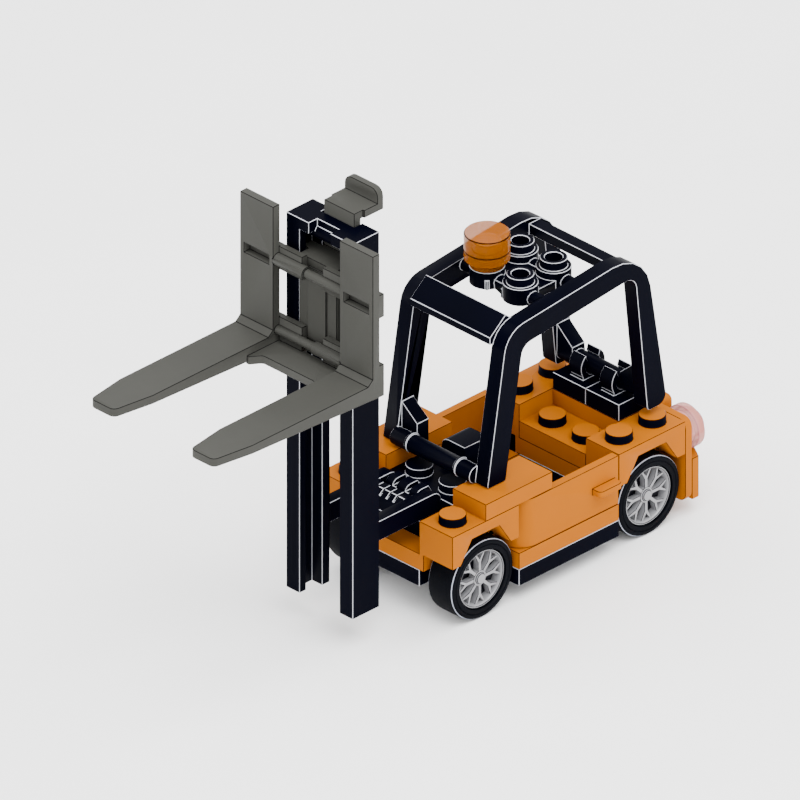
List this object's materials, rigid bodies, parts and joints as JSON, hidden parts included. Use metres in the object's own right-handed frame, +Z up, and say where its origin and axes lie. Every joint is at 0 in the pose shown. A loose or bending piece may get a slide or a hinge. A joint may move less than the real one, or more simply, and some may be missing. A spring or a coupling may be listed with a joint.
{
  "type": "toy forklift",
  "caption": "Snap-together toy forklift with a tilting mast, sliding fork carriage, opening doors, lifting roll cage and free-turning wheels.",
  "frame": {"origin": "on the ground under the centre of the whole truck's bounding box", "axes": "+Z up, -Y forwards (the forks point along -Y), +X the driver's left"},
  "size_m": [0.036, 0.1204, 0.085],
  "materials": {
    "orange_plastic": "glossy moulded",
    "black_plastic": "glossy moulded",
    "dark_grey_plastic": "satin moulded",
    "rim_grey": "satin moulded",
    "tyre": "matte rubber",
    "clear_orange": "translucent glossy",
    "clear_red": "translucent glossy"
  },
  "bodies": {
    "chassis": {"base": "black_plastic", "mudguard_front": "orange_plastic", "mudguard_rear": "orange_plastic", "front_spacer": "black_plastic", "hinge_plate": "black_plastic", "dashboard": "black_plastic", "rear_plate": "orange_plastic", "rear_bracket": "orange_plastic", "rear_cover": "orange_plastic", "rear_block": "orange_plastic", "sill_left": "orange_plastic", "front_tile_left": "orange_plastic", "clip_plate_left": "black_plastic", "tail_light_left": "clear_red", "rear_slope_left": "orange_plastic", "sill_right": "orange_plastic", "front_tile_right": "orange_plastic", "clip_plate_right": "black_plastic", "tail_light_right": "clear_red", "rear_slope_right": "orange_plastic"},
    "door_left": {"door_left": "orange_plastic"},
    "wheel_front_left": {"tyre_front_left": "tyre", "rim_front_left": "rim_grey"},
    "wheel_rear_left": {"tyre_rear_left": "tyre", "rim_rear_left": "rim_grey"},
    "door_right": {"door_right": "orange_plastic"},
    "wheel_front_right": {"tyre_front_right": "tyre", "rim_front_right": "rim_grey"},
    "wheel_rear_right": {"tyre_rear_right": "tyre", "rim_rear_right": "rim_grey"},
    "cage": {"roll_cage": "black_plastic", "beacon_plate": "clear_orange", "beacon_cap": "clear_orange"},
    "mast": {"mast": "black_plastic"},
    "carriage": {"carriage": "dark_grey_plastic", "forks": "dark_grey_plastic"}
  },
  "joints": [
    {"name": "door_left_swing", "type": "hinge", "parent": "chassis", "child": "door_left", "pos_m": [0.012, 0.01615, 0.0144], "axis": [0, 0, -1], "range_deg": [0, 90]},
    {"name": "wheel_front_left_spin", "type": "hinge", "parent": "chassis", "child": "wheel_front_left", "pos_m": [0.0123, 0.00415, 0.0075], "axis": [1, 0, 0], "continuous": true},
    {"name": "wheel_rear_left_spin", "type": "hinge", "parent": "chassis", "child": "wheel_rear_left", "pos_m": [0.0123, 0.04415, 0.0075], "axis": [1, 0, 0], "continuous": true},
    {"name": "door_right_swing", "type": "hinge", "parent": "chassis", "child": "door_right", "pos_m": [-0.012, 0.01615, 0.0144], "axis": [0, 0, 1], "range_deg": [0, 90]},
    {"name": "wheel_front_right_spin", "type": "hinge", "parent": "chassis", "child": "wheel_front_right", "pos_m": [-0.0123, 0.00415, 0.0075], "axis": [1, 0, 0], "continuous": true},
    {"name": "wheel_rear_right_spin", "type": "hinge", "parent": "chassis", "child": "wheel_rear_right", "pos_m": [-0.0123, 0.04415, 0.0075], "axis": [1, 0, 0], "continuous": true},
    {"name": "cage_tilt", "type": "hinge", "parent": "chassis", "child": "cage", "pos_m": [0, 0.04815, 0.0246], "axis": [-1, 0, 0], "range_deg": [0, 90]},
    {"name": "mast_tilt", "type": "hinge", "parent": "chassis", "child": "mast", "pos_m": [0, 0.00115, 0.0199], "axis": [1, 0, 0], "range_deg": [-22.5, 10]},
    {"name": "carriage_lift", "type": "slide", "parent": "mast", "child": "carriage", "axis": [0, 0, 1], "range_m": [-0.048, 0.0015]}
  ]
}
